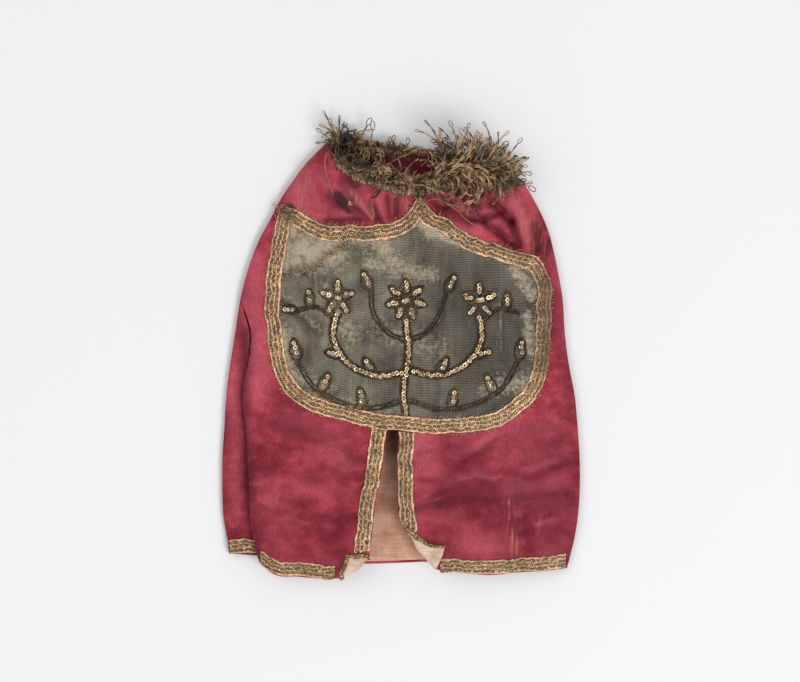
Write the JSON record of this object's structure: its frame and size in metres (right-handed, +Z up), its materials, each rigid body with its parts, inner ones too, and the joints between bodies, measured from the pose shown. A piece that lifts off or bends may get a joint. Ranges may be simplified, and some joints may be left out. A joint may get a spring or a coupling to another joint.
{
  "type": "torah mantle",
  "caption": "Fitted cloth cover for a small scroll, laid flat on its back, with a braided shield, a front vent and a fringed neck.",
  "frame": {"origin": "centre of the bounding box, on the surface that the mantle lies on", "axes": "+X across the front to the viewer's right, +Y from the hem to the neck, +Z up out of the front"},
  "size_m": [0.2868, 0.3749, 0.0425],
  "materials": {
    "crimson_satin": "worn silk satin, softly glossy, with pulled yellowish wear lines and one dark stain",
    "linen": "plain cream linen weave, matt",
    "grey_lame": "ribbed metal-thread cloth, dulled grey with pale stains",
    "gilt_braid": "woven metal-thread galloon, tarnished and fraying",
    "gilt_cord": "twisted metal-thread cord, dark with tarnish"
  },
  "bodies": {
    "root": {"back_panel": "crimson_satin", "front_panel": "crimson_satin", "lining_back": "linen", "lining_front": "linen", "shield": "grey_lame", "braid_shield": "gilt_braid", "braid_vent_left": "gilt_braid", "braid_vent_right": "gilt_braid", "braid_hem_left": "gilt_braid", "braid_hem_right": "gilt_braid", "braid_hem_side": "gilt_braid", "fringe_front": "gilt_cord", "fringe_back": "gilt_cord"}
  },
  "joints": []
}
